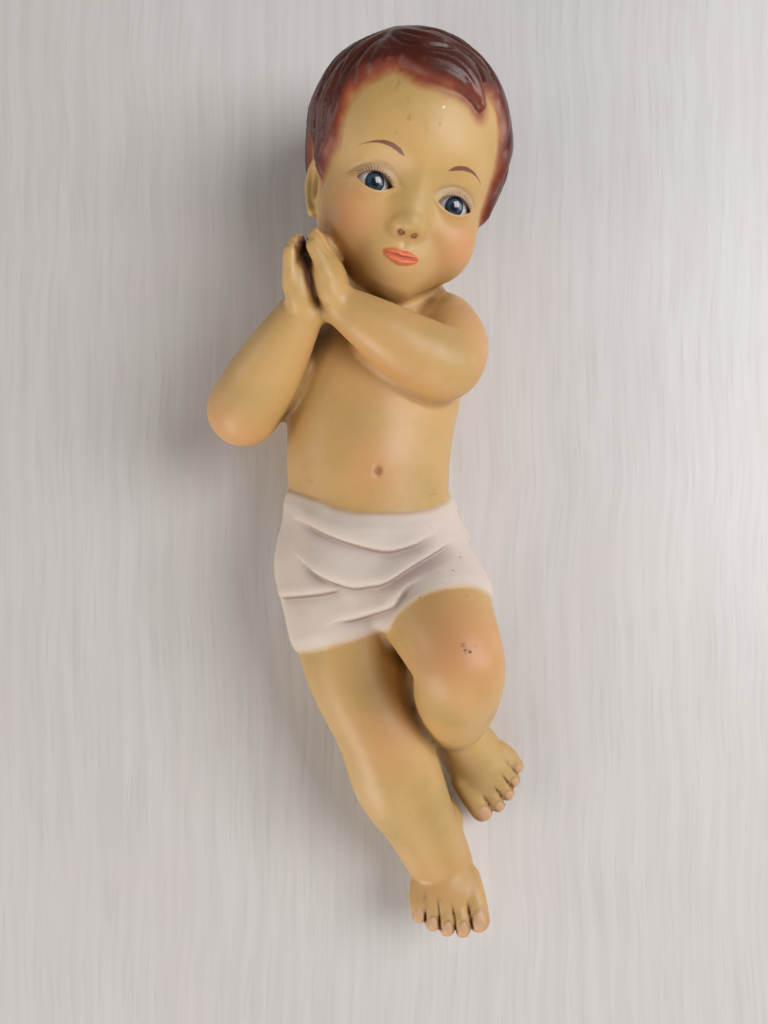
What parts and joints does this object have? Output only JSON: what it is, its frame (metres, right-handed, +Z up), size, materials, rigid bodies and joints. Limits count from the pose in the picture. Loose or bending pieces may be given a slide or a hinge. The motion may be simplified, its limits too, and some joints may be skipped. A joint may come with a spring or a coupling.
{
  "type": "baby jesus figurine",
  "caption": "Painted cast figure of a baby lying on its back, hands joined by the cheek, a pleated white loincloth and glass eyes.",
  "frame": {"origin": "middle of the figure's length and width, on the table that it lies on", "axes": "+Y from the feet to the crown, +X to the figure's left, +Z up from the table towards its front"},
  "size_m": [0.1093, 0.2972, 0.0767],
  "materials": {
    "painted_plaster": "oil-painted plaster composition, satin",
    "eye_glass": "painted blown glass, glossy"
  },
  "bodies": {
    "root": {"baby_figure": "painted_plaster", "right_glass_eye": "eye_glass", "left_glass_eye": "eye_glass"}
  },
  "joints": []
}
